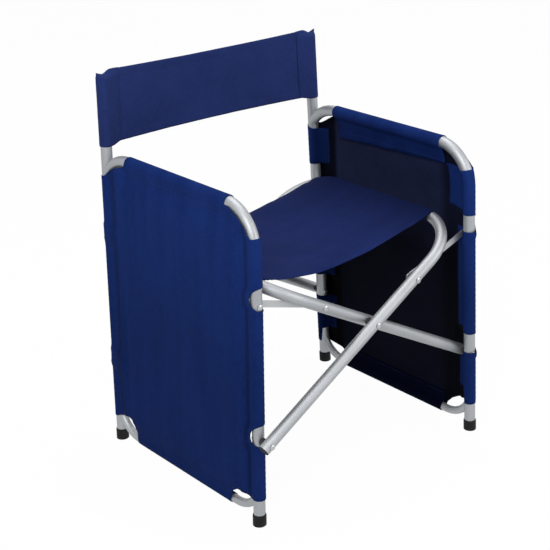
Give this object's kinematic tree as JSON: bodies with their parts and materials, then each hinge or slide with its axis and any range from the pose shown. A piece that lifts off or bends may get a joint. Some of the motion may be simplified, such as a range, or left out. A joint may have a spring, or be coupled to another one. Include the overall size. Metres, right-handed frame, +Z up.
{
  "type": "folding camp chair",
  "caption": "Folding camp chair with a tubular metal scissor frame, cloth sling seat and backrest, and cloth side panels stretched under its armrests.",
  "frame": {"origin": "on the floor, midway between the four feet", "axes": "+X towards the chair's right side as seen from in front, +Y from the front to the back, +Z up"},
  "size_m": [0.559, 0.4904, 0.753],
  "materials": {
    "frame_metal": "satin silver powder coat",
    "rivet_zinc": "zinc plated",
    "cap_rubber": "matte black",
    "plug_plastic": "matte",
    "washer_nylon": "matte",
    "panel_fabric": "navy woven polyester, coated inside",
    "sling_fabric": "navy woven polyester"
  },
  "bodies": {
    "left_side": {"left_arm_tube": "frame_metal", "left_rear_upright": "frame_metal", "left_bottom_rail": "frame_metal", "left_foot_caps": "cap_rubber", "left_upright_plug": "plug_plastic", "left_leg_rivets": "rivet_zinc", "left_link_rivets": "rivet_zinc", "left_washers": "washer_nylon", "left_side_panel": "panel_fabric", "left_panel_sleeves": "panel_fabric", "back_sling": "sling_fabric"},
    "right_seat_frame": {"right_seat_frame": "frame_metal", "right_frame_plugs": "plug_plastic", "right_frame_rivets": "rivet_zinc", "cross_rivets": "rivet_zinc", "cross_washers": "washer_nylon", "seat_sling": "sling_fabric"},
    "left_seat_frame": {"left_seat_frame": "frame_metal", "left_frame_plugs": "plug_plastic", "left_frame_rivets": "rivet_zinc"},
    "right_side": {"right_arm_tube": "frame_metal", "right_rear_upright": "frame_metal", "right_bottom_rail": "frame_metal", "right_foot_caps": "cap_rubber", "right_upright_plug": "plug_plastic", "right_leg_rivets": "rivet_zinc", "right_link_rivets": "rivet_zinc", "right_washers": "washer_nylon", "right_side_panel": "panel_fabric", "right_panel_sleeves": "panel_fabric"},
    "right_links": {"front_right_link": "rivet_zinc", "rear_right_link": "rivet_zinc", "right_link_studs": "rivet_zinc"},
    "left_links": {"front_left_link": "rivet_zinc", "rear_left_link": "rivet_zinc", "left_link_studs": "rivet_zinc"}
  },
  "joints": [
    {"name": "fold", "type": "hinge", "parent": "left_side", "child": "right_seat_frame", "pos_m": [-0.2596, 0, 0.17192], "axis": [0, -1, 0], "range_deg": [0, 40.79], "deforming": ["seat_sling", "back_sling"]},
    {"name": "cross", "type": "hinge", "parent": "right_seat_frame", "child": "left_seat_frame", "pos_m": [0, 0, 0.31999], "axis": [0, 1, 0], "range_deg": [0, 88.6]},
    {"name": "right_foot_pivot", "type": "hinge", "parent": "left_seat_frame", "child": "right_side", "pos_m": [0.2596, 0, 0.17192], "axis": [0, -1, 0], "range_deg": [0, 40.79]},
    {"name": "right_link_pivot", "type": "hinge", "parent": "right_side", "child": "right_links", "pos_m": [0.25159, 0, 0.42679], "axis": [0, 1, 0], "range_deg": [0, 82.95]},
    {"name": "left_link_pivot", "type": "hinge", "parent": "left_side", "child": "left_links", "pos_m": [-0.25159, 0, 0.42679], "axis": [0, -1, 0], "range_deg": [0, 82.95]}
  ],
  "couplings": [
    {"joint": "cross", "follows": "fold", "ratio": 2.1719},
    {"joint": "right_foot_pivot", "follows": "fold", "ratio": 1},
    {"joint": "right_link_pivot", "follows": "fold", "ratio": 2.0336},
    {"joint": "left_link_pivot", "follows": "fold", "ratio": 2.0336}
  ]
}
